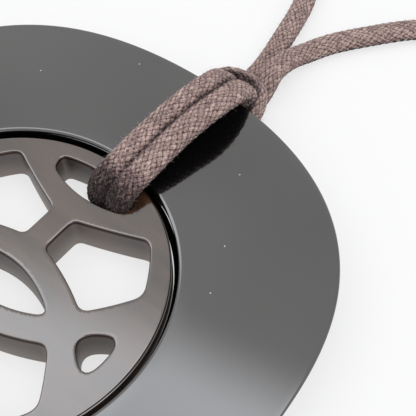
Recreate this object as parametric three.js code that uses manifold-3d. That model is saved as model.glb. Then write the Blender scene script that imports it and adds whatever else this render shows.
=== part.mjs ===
// A pendant necklace: an openwork disc of polished horn set in a black lacquered plate,
// carried by a soft cotton cord that is hitched through the disc's upper slot and over the plate's rim.
// Millimetres. +Z is up, the pendant lies face up, +Y runs from its centre to the hitch.
// The origin is on the surface it lies on, under the pendant's centre.
import * as THREE from 'three';
import { mergeVertices } from 'three/addons/utils/BufferGeometryUtils.js';
import Module from 'manifold-3d';

const wasm = await Module();
wasm.setup();

// Horn disc
const DISC_THICKNESS = 5.5;
const DISC_RADIUS = 22.0;
const LEDGE_RADIUS = 22.35;
const LEDGE_DEPTH = 0.6;
const LEDGE_FOOT = 1.0;
const EDGE_BEVEL = 0.4;
const DISC_SEGMENTS = 72;

// Lacquered plate
const OPENING_RADIUS = 23.0;
const PLATE_TOP = 6.0;
const PLATE_UNDERSIDE = 3.1;
const SHOULDER = 0.35;
const RIM_THICKNESS = 0.5;
const RIM_BEVEL_WIDTH = 6.0;
const PLATE_SEGMENTS = 96;

// The plate's outline is a soft square: radius = mean + stretch cos 2a - square cos 4a + round cos 6a,
// with the angle a measured from +Y.
const OUTLINE = { mean: 42.1, stretch: 0.55, square: 1.63, round: 0.15 };

// Cord
const CORD_DIAMETER = 2.5;
const CORD_SIDES = 8;
const HITCH_STEPS = 76;
const LEG_STEPS = 32;

// The recess in the disc's back that lets the two strands leave the slot under the plate
const RECESS = { left: -2.4, right: 7.6, inner: 17.5, outer: 24, top: 3.3 };

// Clasp
const CLASP = { x: 1, y: -70.5, radius: 2.3, length: 12, lip: 0.5, height: 2.35 };

const HORN = { color: 0x8b8480, roughness: 0.28, metalness: 0 };
const LACQUER = { color: 0x08080a, roughness: 0.06, metalness: 0 };
const COTTON = { color: 0x8d7a78, roughness: 0.95, metalness: 0 };
const STEEL = { color: 0x35322f, roughness: 0.35, metalness: 1 };

// The openwork repeats across both axes, so each table is one opening of the first quarter or half.
// x, y: the sharp corner. round: how far from it its rounding starts.
// bow: how far the side after it swells away from a straight line, outwards of the opening.
const WINDOW = [
  { x: 1.85, y: 6.6, round: 0.9, bow: -0.4 },
  { x: 11.8, y: 2.82, round: 1.3, bow: 0.2 },
  { x: 16.55, y: 9.2, round: 1.3, bow: 0.3 },
  { x: 11.95, y: 15.7, round: 1.2, bow: -0.15 },
  { x: 1.85, y: 11.85, round: 0.9, bow: 0.02 },
];
const SLOT = [
  { x: -6.2, y: 16.6, round: 0.8, bow: 1.2 },
  { x: 6.2, y: 16.6, round: 0.8, bow: 0.08 },
  { x: 6.7, y: 18.7, round: 0.8, bow: 1.12 },
  { x: -6.7, y: 18.7, round: 0.8, bow: 0.08 },
];
const DROP = [
  { x: 13.5, y: 0, round: 2.7, bow: 0.15 },
  { x: 18.2, y: -3.45, round: 2.8, bow: 0.4 },
  { x: 18.2, y: 3.45, round: 2.8, bow: 0.15 },
];
const LENS = [
  { x: -9.0, y: 0, round: 1.5, bow: 2.85 },
  { x: 9.0, y: 0, round: 1.5, bow: 2.85 },
];

// The cord's route through the hitch, from under the collar on one side to under it on the other:
// over the plate, down the slot, back below the plate, round the rim as the collar, and the same way back.
const HITCH = [
  [3.53, 45.5, 1.38], [3.52, 44.8, 1.4], [3.45, 43.85, 1.85], [3.32, 43.15, 3],
  [3.18, 42.95, 4.6], [3.06, 42.65, 6.4], [2.76, 41.6, 7.6], [3.18, 38.67, 9.3],
  [3.16, 34.85, 10.2], [2.56, 29.81, 9.75], [1.98, 24.62, 8.75], [1.43, 21.18, 7.55],
  [1.28, 19.51, 7.12], [1.2, 18.4, 6.5], [1.1, 17.75, 5.4], [1, 17.55, 3.5],
  [1, 17.9, 2.2], [1, 19.2, 1.5], [0.8, 22, 1.42], [0.4, 28, 1.42], [0, 34.1, 1.45],
  [-0.25, 38.7, 1.7], [-0.05, 41.2, 2.6], [0.45, 42.9, 3.7], [1.2, 44.45, 4.3],
  [2.6, 45.3, 4.4], [4.6, 45.65, 4.45], [6.5, 45.4, 4.45], [7.95, 44.5, 4.3],
  [8.65, 42.8, 3.8], [8.8, 40.9, 2.9], [8.55, 38.4, 1.8], [7.8, 33.5, 1.45],
  [6.4, 27, 1.42], [5.2, 21.9, 1.42], [4.65, 19.2, 1.5], [4.5, 17.9, 2.2],
  [4.5, 17.55, 3.5], [4.58, 17.75, 5.4], [4.68, 18.35, 6.5], [4.75, 19.42, 7.1],
  [4.88, 21.18, 7.55], [5.39, 24.62, 8.75], [5.96, 29.81, 9.75], [6.67, 34.85, 10.2],
  [6.78, 38.67, 9.3], [6.34, 41.6, 7.6], [6.5, 42.65, 6.4], [6.42, 42.95, 4.6],
  [6.32, 43.15, 3], [6.25, 43.85, 1.85], [6.2, 44.8, 1.4], [6.18, 45.45, 1.38],
];

// The two free legs, each from the hitch round to one end of the clasp.
const LEFT_LEG = [
  [3.53, 45.86, 1.37], [3.46, 47.5, 1.35], [3.17, 51.85, 1.35], [2.05, 57.8, 1.35],
  [-0.3, 67.2, 1.35], [-3.6, 73.6, 1.35], [-9.2, 77.8, 1.35], [-17.5, 77, 1.35],
  [-28.5, 70.5, 1.35], [-39.5, 60, 1.35], [-49, 46.5, 1.35], [-55.8, 31, 1.35],
  [-59.7, 12, 1.35], [-60.7, -8, 1.35], [-58, -27.5, 1.35], [-50.5, -45, 1.35], [-39, -58.5, 1.35],
  [-24.5, -67, 1.35], [-14, -69.9, 1.5], [-9, -70.45, 2.25], [-5.35, -70.5, 2.35]
];
const RIGHT_LEG = [
  [6.18, 45.88, 1.38], [6.2, 46.7, 1.5], [6.23, 47.65, 2.2], [6.14, 48.8, 2.95],
  [5.91, 50.25, 3.3], [5.77, 52.2, 2.95], [5.86, 55.2, 2.1], [6.74, 58.1, 1.5],
  [8.47, 61.8, 1.35], [11.97, 66.6, 1.35], [17.35, 72.8, 1.35], [23.6, 77.4, 1.35],
  [32.5, 78.6, 1.35], [42, 74.8, 1.35], [51, 65.8, 1.35], [57.6, 52.5, 1.35], [61.9, 37, 1.35],
  [63.9, 20, 1.35], [63.9, 0, 1.35], [61, -20, 1.35], [54, -39, 1.35], [42, -54.5, 1.35],
  [28, -65, 1.35], [16.5, -69.4, 1.5], [11, -70.3, 2.25], [7.35, -70.5, 2.35]
];

// A closed geometry with shared corners merged, its faces turned outwards.
function sealed(geometry) {
  geometry.deleteAttribute('normal');
  geometry.deleteAttribute('uv');
  const merged = mergeVertices(geometry, 1e-4);
  const position = merged.attributes.position;
  const index = Array.from(merged.index.array);
  const [a, b, c] = [new THREE.Vector3(), new THREE.Vector3(), new THREE.Vector3()];
  const kept = [];
  let volume = 0;
  for (let i = 0; i < index.length; i += 3) {
    const [p, q, r] = index.slice(i, i + 3);
    if (p === q || q === r || r === p) continue;
    a.fromBufferAttribute(position, p);
    b.fromBufferAttribute(position, q);
    c.fromBufferAttribute(position, r);
    volume += a.dot(b.cross(c));
    kept.push(p, q, r);
  }
  if (volume < 0) kept.reverse();
  merged.setIndex(kept);
  return merged;
}

function toSolid(geometry) {
  const closed = sealed(geometry);
  return new wasm.Manifold(new wasm.Mesh({
    numProp: 3,
    vertProperties: new Float32Array(closed.attributes.position.array),
    triVerts: new Uint32Array(closed.index.array),
  }));
}

function toGeometry(solid) {
  const mesh = solid.getMesh();
  const geometry = new THREE.BufferGeometry();
  geometry.setAttribute('position', new THREE.BufferAttribute(new Float32Array(mesh.vertProperties), 3));
  geometry.setIndex(new THREE.BufferAttribute(new Uint32Array(mesh.triVerts), 1));
  return geometry;
}

function named(name, geometry, look) {
  geometry.computeVertexNormals();
  const mesh = new THREE.Mesh(geometry, new THREE.MeshStandardMaterial(look));
  mesh.name = name;
  return mesh;
}

// Where the line from p along d meets the line from q along e.
function meet(p, d, q, e) {
  const t = (q.clone().sub(p).cross(e)) / d.cross(e);
  return p.clone().addScaledVector(d, t);
}

// The stretch of a quadratic curve between two of its parameters, as start, handle and end.
function trimmed([p, h, q], from, to) {
  const at = (u, v) => p.clone().multiplyScalar((1 - u) * (1 - v))
    .addScaledVector(h, u * (1 - v) + v * (1 - u))
    .addScaledVector(q, u * v);
  return { start: at(from, from), handle: at(from, to), end: at(to, to) };
}

// A closed outline with rounded corners and bowed sides. Each side is a quadratic curve cut short at
// both ends, and each corner is a curve whose handle is where its two sides' directions meet.
function openingPath(rows, flipX = 1, flipY = 1) {
  const corners = rows.map((row) => new THREE.Vector2(row.x * flipX, row.y * flipY));
  const sides = rows.map((row, i) => {
    const next = (i + 1) % rows.length;
    const along = corners[next].clone().sub(corners[i]);
    const out = new THREE.Vector2(along.y, -along.x).normalize().multiplyScalar(flipX * flipY);
    const handle = corners[i].clone().add(corners[next]).divideScalar(2).addScaledVector(out, 2 * row.bow);
    const length = along.length();
    return trimmed([corners[i], handle, corners[next]], row.round / length, 1 - rows[next].round / length);
  });
  const path = new THREE.Path();
  path.moveTo(sides[0].start.x, sides[0].start.y);
  sides.forEach((side, i) => {
    const next = sides[(i + 1) % sides.length];
    const corner = meet(side.end, side.end.clone().sub(side.handle), next.start, next.handle.clone().sub(next.start));
    path.quadraticCurveTo(side.handle.x, side.handle.y, side.end.x, side.end.y);
    path.quadraticCurveTo(corner.x, corner.y, next.start.x, next.start.y);
  });
  return path;
}

function hornDisc() {
  const circle = new THREE.EllipseCurve(0, 0, DISC_RADIUS, DISC_RADIUS);
  const outline = new THREE.Shape(circle.getPoints(DISC_SEGMENTS).slice(1));
  const openings = [openingPath(LENS)];
  for (const side of [1, -1]) {
    openings.push(openingPath(SLOT, 1, side), openingPath(DROP, side, 1));
    openings.push(openingPath(WINDOW, side, 1), openingPath(WINDOW, side, -1));
  }
  outline.holes = openings;
  const plain = new THREE.ExtrudeGeometry(outline, {
    depth: DISC_THICKNESS - 2 * EDGE_BEVEL,
    curveSegments: 4,
    bevelEnabled: true,
    bevelThickness: EDGE_BEVEL,
    bevelSize: EDGE_BEVEL,
    bevelOffset: -EDGE_BEVEL,
    bevelSegments: 1,
  });
  plain.translate(0, 0, EDGE_BEVEL);
  const ledge = ring([
    [DISC_RADIUS - 1, LEDGE_FOOT],
    [LEDGE_RADIUS, LEDGE_FOOT],
    [LEDGE_RADIUS, DISC_THICKNESS - LEDGE_DEPTH],
    [DISC_RADIUS - 1, DISC_THICKNESS - LEDGE_DEPTH],
  ], DISC_SEGMENTS);
  const recess = new THREE.BoxGeometry(
    RECESS.right - RECESS.left, RECESS.outer - RECESS.inner, 2 * RECESS.top);
  recess.translate((RECESS.left + RECESS.right) / 2, (RECESS.inner + RECESS.outer) / 2, 0);
  return toGeometry(toSolid(plain).add(toSolid(ledge)).subtract(toSolid(recess)));
}

// A closed section of [radius, height] points turned once about the upright axis.
function ring(section, segments) {
  const closed = [...section, section[0]].map(([radius, height]) => new THREE.Vector2(radius, height));
  return new THREE.LatheGeometry(closed, segments).rotateX(Math.PI / 2);
}

function outlineRadius(angle) {
  const { mean, stretch, square, round } = OUTLINE;
  return mean + stretch * Math.cos(2 * angle) - square * Math.cos(4 * angle) + round * Math.cos(6 * angle);
}

// The plate is turned as a round ring, and then everything past its opening is pushed out to the soft square.
function lacquerPlate() {
  const rim = OUTLINE.mean;
  const plate = ring([
    [OPENING_RADIUS, PLATE_UNDERSIDE],
    [rim - RIM_BEVEL_WIDTH, PLATE_UNDERSIDE],
    [rim, PLATE_TOP - RIM_THICKNESS],
    [rim, PLATE_TOP],
    [OPENING_RADIUS + SHOULDER, PLATE_TOP],
    [OPENING_RADIUS, PLATE_TOP - SHOULDER],
  ], PLATE_SEGMENTS);
  const position = plate.attributes.position;
  const midway = (OPENING_RADIUS + rim) / 2;
  for (let i = 0; i < position.count; i += 1) {
    const [x, y] = [position.getX(i), position.getY(i)];
    const radius = Math.hypot(x, y);
    if (radius > midway) {
      const scale = 1 + (outlineRadius(Math.atan2(x, y)) - rim) / radius;
      position.setXY(i, x * scale, y * scale);
    }
  }
  return sealed(plate);
}

function cordTube(route, steps) {
  const corners = Array.from({ length: CORD_SIDES }, (_, i) => {
    const turn = ((i + 0.5) / CORD_SIDES) * 2 * Math.PI;
    return new THREE.Vector2(Math.cos(turn), Math.sin(turn)).multiplyScalar(CORD_DIAMETER / 2);
  });
  const points = route.map(([x, y, z]) => new THREE.Vector3(x, y, z));
  const extrudePath = new THREE.CatmullRomCurve3(points, false, 'centripetal');
  return sealed(new THREE.ExtrudeGeometry(new THREE.Shape(corners), { steps, extrudePath, bevelEnabled: false }));
}

// A plain barrel that joins the cord's two ends.
function claspBarrel() {
  const { radius, length, lip } = CLASP;
  const profile = [
    [0, 0], [radius - lip, 0], [radius, lip], [radius, length - lip], [radius - lip, length], [0, length],
  ].map(([r, y]) => new THREE.Vector2(r, y));
  return sealed(new THREE.LatheGeometry(profile, 24).translate(0, -length / 2, 0).rotateZ(Math.PI / 2));
}

const clasp = named('cord_clasp', claspBarrel(), STEEL);
clasp.position.set(CLASP.x, CLASP.y, CLASP.height);

const necklace = new THREE.Group();
necklace.add(
  named('horn_disc', hornDisc(), HORN),
  named('lacquer_plate', lacquerPlate(), LACQUER),
  named('cord_hitch', cordTube(HITCH, HITCH_STEPS), COTTON),
  named('cord_left', cordTube(LEFT_LEG, LEG_STEPS), COTTON),
  named('cord_right', cordTube(RIGHT_LEG, LEG_STEPS), COTTON),
  clasp,
);

export default necklace;
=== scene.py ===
# %% [markdown]
# # A horn pendant on a cotton cord
# A round disc of polished horn, sawn through in an openwork of five-sided windows, drops and a
# lens, sits in a wide plate of black lacquer. A soft flat braid is hitched through the disc's
# upper slot and over the plate's rim, and runs round in one loop, back to a small barrel clasp.
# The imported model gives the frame: metres, the pendant face up, and +Y towards the hitch.
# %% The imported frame
import math

import bmesh
import bpy
import numpy as np
from mathutils import Matrix, Vector


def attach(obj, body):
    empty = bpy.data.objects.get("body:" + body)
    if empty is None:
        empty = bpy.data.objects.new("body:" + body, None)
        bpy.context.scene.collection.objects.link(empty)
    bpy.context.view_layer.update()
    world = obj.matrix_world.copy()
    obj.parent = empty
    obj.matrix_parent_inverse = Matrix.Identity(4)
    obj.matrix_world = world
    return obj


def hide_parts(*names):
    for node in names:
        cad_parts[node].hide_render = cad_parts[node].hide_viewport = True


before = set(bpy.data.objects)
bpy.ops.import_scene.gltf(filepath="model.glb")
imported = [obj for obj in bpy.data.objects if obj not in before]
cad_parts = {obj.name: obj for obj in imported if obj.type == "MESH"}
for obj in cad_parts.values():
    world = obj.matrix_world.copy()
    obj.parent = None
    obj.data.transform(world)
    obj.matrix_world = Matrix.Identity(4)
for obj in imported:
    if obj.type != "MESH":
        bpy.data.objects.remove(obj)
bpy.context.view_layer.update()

MM = 0.001
FULL_TURN = 2 * math.pi
bpy.context.scene.view_settings.view_transform = "Standard"
print("the frame holds", ", ".join(sorted(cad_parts)))

# %% [markdown]
# ## The camera
# A pendant is looked at from close by and from one side, so that its polish catches the light.
# A constraint could aim the camera, but three angles are plainer to read and change: its heading
# over the floor, its dip, and its lean. The lens is a long one, as for small goods, and its shift
# slides the picture a little without turning the camera.
# %% Camera
CAMERA_PLACE = (64.3, -30.6, 117.2)
CAMERA_HEADING, CAMERA_DIP, CAMERA_LEAN = 127.07, 50.84, 0.61
LENS_LENGTH, SENSOR_WIDTH = 86.54, 36.0
LENS_SHIFT = (-0.1202, -0.2404)
QUARTER = 90


def turned(degrees, axis):
    """A rotation about one of the camera's own axes."""
    return Matrix.Rotation(math.radians(degrees), 4, axis)


lens = bpy.data.cameras.new("view")
lens.lens, lens.sensor_width = LENS_LENGTH, SENSOR_WIDTH
lens.shift_x, lens.shift_y = LENS_SHIFT
lens.clip_start, lens.clip_end = 0.01, 20.0
camera = bpy.data.objects.new("view", lens)
bpy.context.scene.collection.objects.link(camera)
# An unturned camera looks straight down with +Y at the top: it is leaned, raised, then swung.
camera.matrix_world = (Matrix.Translation(Vector(CAMERA_PLACE) * MM) @ turned(CAMERA_HEADING - QUARTER, "Z")
                       @ turned(QUARTER - CAMERA_DIP, "X") @ turned(CAMERA_LEAN, "Z"))
bpy.context.scene.camera = camera
print("camera", [round(v, 4) for v in camera.location], "lens", LENS_LENGTH)

# %% [markdown]
# ## Surfaces from whole arrays
# Each new piece is a grid of points, worked out at once by numpy, and a list of faces over it.
# Operators could build the same shapes, but a grid keeps the formula in view, and its rows and
# columns wrap into closed seams.
# %% Mesh helpers
JOIN_REACH = 0.0001


def put_mesh(name, points, faces, smooth=True):
    """An object at the origin from points in millimetres and faces of three or four corners."""
    corner_count = faces.shape[1]
    mesh = bpy.data.meshes.new(name)
    mesh.vertices.add(len(points))
    mesh.vertices.foreach_set("co", (points * MM).astype(np.float32).ravel())
    mesh.loops.add(faces.size)
    mesh.loops.foreach_set("vertex_index", faces.astype(np.int32).ravel())
    mesh.polygons.add(len(faces))
    mesh.polygons.foreach_set("loop_start", np.arange(0, faces.size, corner_count, dtype=np.int32))
    mesh.polygons.foreach_set("use_smooth", np.full(len(faces), smooth))
    mesh.update(calc_edges=True)
    made = bpy.data.objects.new(name, mesh)
    bpy.context.scene.collection.objects.link(made)
    return made


def grid_faces(rows, columns, wrap_rows=False, wrap_columns=True):
    """Four-cornered faces over points numbered row by row. A wrapped side joins up its ends."""
    row = np.arange(rows if wrap_rows else rows - 1)[:, None]
    column = np.arange(columns if wrap_columns else columns - 1)[None, :]
    here, ahead = row * columns, (row + 1) % rows * columns
    beside = (column + 1) % columns
    return np.stack([here + column, ahead + column, ahead + beside, here + beside], -1).reshape(-1, 4)


def join_close(piece):
    """Joins points that nearly touch, so that a drawn-in end ring is one point."""
    shell = bmesh.new()
    shell.from_mesh(piece.data)
    bmesh.ops.remove_doubles(shell, verts=shell.verts, dist=JOIN_REACH * MM)
    shell.to_mesh(piece.data)
    shell.free()


def point_attribute(piece, name, values):
    """Stores one number a point, for a material to read."""
    store = piece.data.attributes.new(name, "FLOAT", "POINT")
    store.data.foreach_set("value", values.astype(np.float32).ravel())


def tell(piece):
    """Prints how many triangles a piece's three- and four-cornered faces make."""
    print(piece.name, "triangles", len(piece.data.loops) - 2 * len(piece.data.polygons))


print("a grid of 3 by 4 points, closed round, has", len(grid_faces(3, 4)), "faces")

# %% [markdown]
# ## The cord's route
# One flat cotton braid does all the work: its middle goes through the horn's slot as a loop,
# its two ends pass through that loop at the rim, and the loop closes round them as a belt.
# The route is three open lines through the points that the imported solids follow. A curve object
# with a bevel could follow them, but a flat braid lies down, stands on edge and turns over, so
# the line is worked out as arrays and the section is carried along it.
# %% Route points, in millimetres
HITCH_ROUTE = np.array([
    [3.53, 45.5, 1.38], [3.52, 44.8, 1.4], [3.45, 43.85, 1.85], [3.32, 43.15, 3],
    [3.18, 42.95, 4.6], [3.06, 42.65, 6.4], [2.76, 41.6, 7.6], [3.18, 38.67, 9.3],
    [3.16, 34.85, 10.2], [2.56, 29.81, 9.75], [1.98, 24.62, 8.75], [1.43, 21.18, 7.55],
    [1.28, 19.51, 7.12], [1.2, 18.4, 6.5], [1.1, 17.75, 5.4], [1, 17.55, 3.5],
    [1, 17.9, 2.2], [1, 19.2, 1.5], [0.8, 22, 1.42], [0.4, 28, 1.42], [0, 34.1, 1.45],
    [-0.25, 38.7, 1.7], [-0.05, 41.2, 2.6], [0.45, 42.9, 3.7], [1.2, 44.45, 4.3],
    [2.6, 45.3, 4.4], [4.6, 45.65, 4.45], [6.5, 45.4, 4.45], [7.95, 44.5, 4.3],
    [8.65, 42.8, 3.8], [8.8, 40.9, 2.9], [8.55, 38.4, 1.8], [7.8, 33.5, 1.45],
    [6.4, 27, 1.42], [5.2, 21.9, 1.42], [4.65, 19.2, 1.5], [4.5, 17.9, 2.2],
    [4.5, 17.55, 3.5], [4.58, 17.75, 5.4], [4.68, 18.35, 6.5], [4.75, 19.42, 7.1],
    [4.88, 21.18, 7.55], [5.39, 24.62, 8.75], [5.96, 29.81, 9.75], [6.67, 34.85, 10.2],
    [6.78, 38.67, 9.3], [6.34, 41.6, 7.6], [6.5, 42.65, 6.4], [6.42, 42.95, 4.6],
    [6.32, 43.15, 3], [6.25, 43.85, 1.85], [6.2, 44.8, 1.4], [6.18, 45.45, 1.38],
])
LEFT_ROUTE = np.array([
    [3.53, 45.86, 1.37], [3.46, 47.5, 1.35], [3.17, 51.85, 1.35], [2.05, 57.8, 1.35],
    [-0.3, 67.2, 1.35], [-3.6, 73.6, 1.35], [-9.2, 77.8, 1.35], [-17.5, 77, 1.35],
    [-28.5, 70.5, 1.35], [-39.5, 60, 1.35], [-49, 46.5, 1.35], [-55.8, 31, 1.35],
    [-59.7, 12, 1.35], [-60.7, -8, 1.35], [-58, -27.5, 1.35], [-50.5, -45, 1.35],
    [-39, -58.5, 1.35], [-24.5, -67, 1.35], [-14, -69.9, 1.5], [-9, -70.45, 2.25],
    [-5.35, -70.5, 2.35],
])
RIGHT_ROUTE = np.array([
    [6.18, 45.88, 1.38], [6.2, 46.7, 1.5], [6.23, 47.65, 2.2], [6.14, 48.8, 2.95],
    [5.91, 50.25, 3.3], [5.77, 52.2, 2.95], [5.86, 55.2, 2.1], [6.74, 58.1, 1.5],
    [8.47, 61.8, 1.35], [11.97, 66.6, 1.35], [17.35, 72.8, 1.35], [23.6, 77.4, 1.35],
    [32.5, 78.6, 1.35], [42, 74.8, 1.35], [51, 65.8, 1.35], [57.6, 52.5, 1.35],
    [61.9, 37, 1.35], [63.9, 20, 1.35], [63.9, 0, 1.35], [61, -20, 1.35],
    [54, -39, 1.35], [42, -54.5, 1.35], [28, -65, 1.35], [16.5, -69.4, 1.5],
    [11, -70.3, 2.25], [7.35, -70.5, 2.35],
])
print("route points", len(HITCH_ROUTE), len(LEFT_ROUTE), len(RIGHT_ROUTE))

# %% Smooth line through the points
FINE_SAMPLES = 60
LINE_STEP = 0.12
EASING = 9


def smooth_line(route):
    """A Catmull-Rom curve: a blend of blends of straight lines through four neighbours. A point's
    knot is the square roots of the steps to it, added up, so that close points make no loop."""
    ends = np.vstack([2 * route[0] - route[1], route, 2 * route[-1] - route[-2]])
    steps = np.sqrt(np.linalg.norm(np.diff(ends, axis=0), axis=1))
    knots = np.concatenate([[0], np.cumsum(steps)])[:, None, None]
    share = np.linspace(0, 1, FINE_SAMPLES, endpoint=False)[None, :, None]
    k = [knots[i : len(knots) - 3 + i] for i in range(4)]
    p = [ends[i : len(ends) - 3 + i][:, None, :] for i in range(4)]
    at = k[1] + share * (k[2] - k[1])

    def between(low, high, first, second):
        return (first * (high - at) + second * (at - low)) / (high - low)

    low_pair = [between(k[i], k[i + 1], p[i], p[i + 1]) for i in range(3)]
    mid_pair = [between(k[i], k[i + 2], low_pair[i], low_pair[i + 1]) for i in range(2)]
    line = between(k[1], k[2], mid_pair[0], mid_pair[1]).reshape(-1, 3)
    return np.vstack([line, route[-1]])


def length_along(line):
    """The distance walked to each point of a line."""
    return np.concatenate([[0], np.cumsum(np.linalg.norm(np.diff(line, axis=0), axis=1))])


def spaced(line, places):
    """The line's points at given distances along it."""
    walked = length_along(line)
    return np.stack([np.interp(places, walked, line[:, axis]) for axis in range(3)], -1)


def eased(line):
    """A running mean along the line, with the ends carried on straight so that they stay put."""
    steps = np.arange(EASING // 2, 0, -1)
    padded = np.vstack([2 * line[0] - line[steps], line, 2 * line[-1] - line[-1 - steps[::-1]]])
    kernel = np.ones(EASING) / EASING
    return np.stack([np.convolve(padded[:, axis], kernel, "valid") for axis in range(3)], -1)


def route_line(route):
    """A route as close points a step apart, with its small corners eased."""
    line = smooth_line(route)
    total = length_along(line)[-1]
    return eased(spaced(line, np.linspace(0, total, int(total / LINE_STEP) + 1)))


cord_lines = [route_line(route) for route in (HITCH_ROUTE, LEFT_ROUTE, RIGHT_ROUTE)]
hitch_line, left_line, right_line = cord_lines
print("cord lengths in mm", [round(length_along(line)[-1], 1) for line in cord_lines])

# %% [markdown]
# ## The braid
# The cord is a flat tube braided from two sets of cotton strands that wind round it in
# opposite directions. Each goes over one of the other set and under the next, which draws the
# small leaves. A bump map would leave the outline smooth, so the leaves are real height: a count
# of strands runs round the section for each set, and the higher strand is the surface.
# %% Braid and section
CORD_WIDTH = 3.7
CORD_THICKNESS = 2.36
SECTION_SQUARENESS = 2.6
STRANDS_ROUND = 12
STRAND_ADVANCE = 1.16
STRAND_RISE = 0.085
STRAND_ROUNDNESS = 0.17
STRAND_WANDER = 0.24
YARNS_EACH = 3
SECTION_POINTS = 88
SECTION_SAMPLES = 2001
BRAID_MEAN = 0.13
DRIFT_WAVES = ((1.31, 2), (0.37, 3))
SWAY_WAVES = ((0.83, -3), (0.53, 1))


def signed_power(values, power):
    """Each value's size raised to a power, with its sign kept."""
    return np.sign(values) * np.abs(values) ** power


def section_outline():
    """A rounded rectangle one unit wide and thick, as a superellipse, with its points an equal
    walk apart. Gives across, up, and the outward direction of each."""
    power = 2 / SECTION_SQUARENESS
    angle = np.linspace(0, FULL_TURN, SECTION_SAMPLES)
    across, up = signed_power(np.cos(angle), power), signed_power(np.sin(angle), power)
    walked = length_along(np.stack([across * CORD_WIDTH / 2, up * CORD_THICKNESS / 2], -1))
    even = np.interp(np.linspace(0, walked[-1], SECTION_POINTS, endpoint=False), walked, angle)
    cosine, sine = np.cos(even), np.sin(even)
    out_across = signed_power(cosine, 2 - power) / CORD_WIDTH
    out_up = signed_power(sine, 2 - power) / CORD_THICKNESS
    size = np.hypot(out_across, out_up)
    return signed_power(cosine, power), signed_power(sine, power), out_across / size, out_up / size


def wander(waves, angle, along):
    """The product of two sine waves, each with a rate along and a count round."""
    (fast, fast_round), (slow, slow_round) = waves
    return (STRAND_WANDER * np.sin(fast * along + fast_round * angle)
            * np.sin(slow * along + slow_round * angle))


def strand_counts(around, along):
    """Which strand of each set a place is on, and how far over it as the fraction, from the
    share around the section and the millimetres along. Both wander, as hand tension lets them."""
    angle = FULL_TURN * around
    first = STRANDS_ROUND * around + along / STRAND_ADVANCE + wander(DRIFT_WAVES, angle, along)
    second = STRANDS_ROUND * around - along / STRAND_ADVANCE + wander(SWAY_WAVES, angle, along)
    return first, second


def braid_height(first, second):
    """The higher of two strands. A strand's back is an ellipse over its width, and it rises and
    dives as a sine wave with a period of two crossings."""

    def back(count):
        offset = 2 * (count - np.floor(count)) - 1
        return STRAND_ROUNDNESS * np.sqrt(np.clip(1 - offset**2, 0, 1))

    over = STRAND_RISE * np.sin(math.pi * (second + np.floor(first))) + back(first)
    under = STRAND_RISE * -np.sin(math.pi * (first + np.floor(second))) + back(second)
    return np.maximum(over, under)


section = section_outline()
print("strands in each direction", STRANDS_ROUND, "points round the section", len(section[0]))

# %% [markdown]
# ## Carrying the section along the line
# A flat cord bends easily over its face and hardly at all over its edge. So it lies flat over
# the plate, and turns a quarter on itself before it goes round as a belt, standing on its edge.
# The section's width runs along one axis at each place, which is given, and its thickness along
# another, which is square to that and to the line.
# %% Widths and turns along the cord
BELT_TURN = [(0, 0), (47.5, 0), (56.5, 1), (83.5, 1), (92.5, 0), (200, 0)]
HITCH_WIDTH = [(0, 0.91), (3, 0.93), (8, 0.91), (26, 0.93), (33, 0.92), (36, 0.9), (45, 0.92),
               (56, 0.86), (84, 0.86), (97, 0.94), (103, 0.99), (129, 0.99), (133, 0.95), (200, 0.91)]
HITCH_THICKNESS = [(0, 0.97), (48, 0.97), (57, 0.8), (84, 0.8), (93, 0.97), (200, 0.97)]
LEG_WIDTH = [(0, 0.88), (4, 0.89), (9, 0.87), (224, 0.87), (232, 0.84), (300, 0.8)]
LEG_THICKNESS = [(0, 1.0), (224, 1.0), (232, 1.1), (300, 1.22)]


def profile(table, places):
    """Reads a table of (place along, share) with straight lines between its rows."""
    rows = np.array(table, float)
    return np.interp(places, rows[:, 0], rows[:, 1])


def unit(vectors):
    """Each vector made one long."""
    return vectors / np.linalg.norm(vectors, axis=-1, keepdims=True)


def belt_axis(places, ahead):
    """The hitch's width runs along X where it lies flat, and turns up to Z for the belt."""
    turned = profile(BELT_TURN, places) * math.pi / 2
    flat, standing = np.array([1.0, 0, 0]), np.array([0, 0, 1.0])
    return np.cos(turned)[:, None] * flat + np.sin(turned)[:, None] * standing


def lying_axis(places, ahead):
    """A leg's width is level and square to its line."""
    return np.cross(ahead, np.array([0, 0, 1.0]))


print("share of its width that the belt keeps", profile(HITCH_WIDTH, 70))

# %% Painted shade that the cord lies in
SLOT_PLACE, SLOT_SOFTNESS, SLOT_REACH = 19.5, 3.2, 12.0
BELT_SHADE, BELT_INSIDE, BELT_SOFTNESS = 0.85, -0.2, 0.5
CREASE_SHADE, CREASE_START, CREASE_SOFTNESS = 0.8, 0.84, 0.3


def soft_step(value, softness):
    """0 below, 1 above, and a smooth cubic between."""
    share = np.clip(value / softness * 0.5 + 0.5, 0, 1)
    return share * share * (3 - 2 * share)


def slot_shade(rings):
    """Painted shade where the loop goes down into the disc's slot, by how far back a point is."""
    return soft_step(SLOT_PLACE - rings[..., 1], SLOT_SOFTNESS) * (np.abs(rings[..., 0]) < SLOT_REACH)


def hitch_shade(places):
    """Painted shade inside the belt, and in the crease between the two strands, on their facing sides."""
    across, up = section[:2]
    belt = profile(BELT_TURN, places)[:, None]
    inside = BELT_SHADE * belt * soft_step(BELT_INSIDE - up, BELT_SOFTNESS)
    facing = np.where(places < places[-1] / 2, 1, -1)[:, None]
    crease = CREASE_SHADE * soft_step(facing * across - CREASE_START, CREASE_SOFTNESS)
    return np.maximum(inside, (1 - belt) * crease)


def leg_shade(places):
    """A leg lies by itself, so nothing shades it."""
    return 0.0


print("deepest shade of the hitch", round(float(hitch_shade(np.linspace(0, 100, 50)).max()), 2))

# %% Cord tubes
RINGS_MOST = 1075
FINE_RING_STEP = 0.135
END_ROUNDING = 0.5
FLOOR_CONTACT = 0.02


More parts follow.
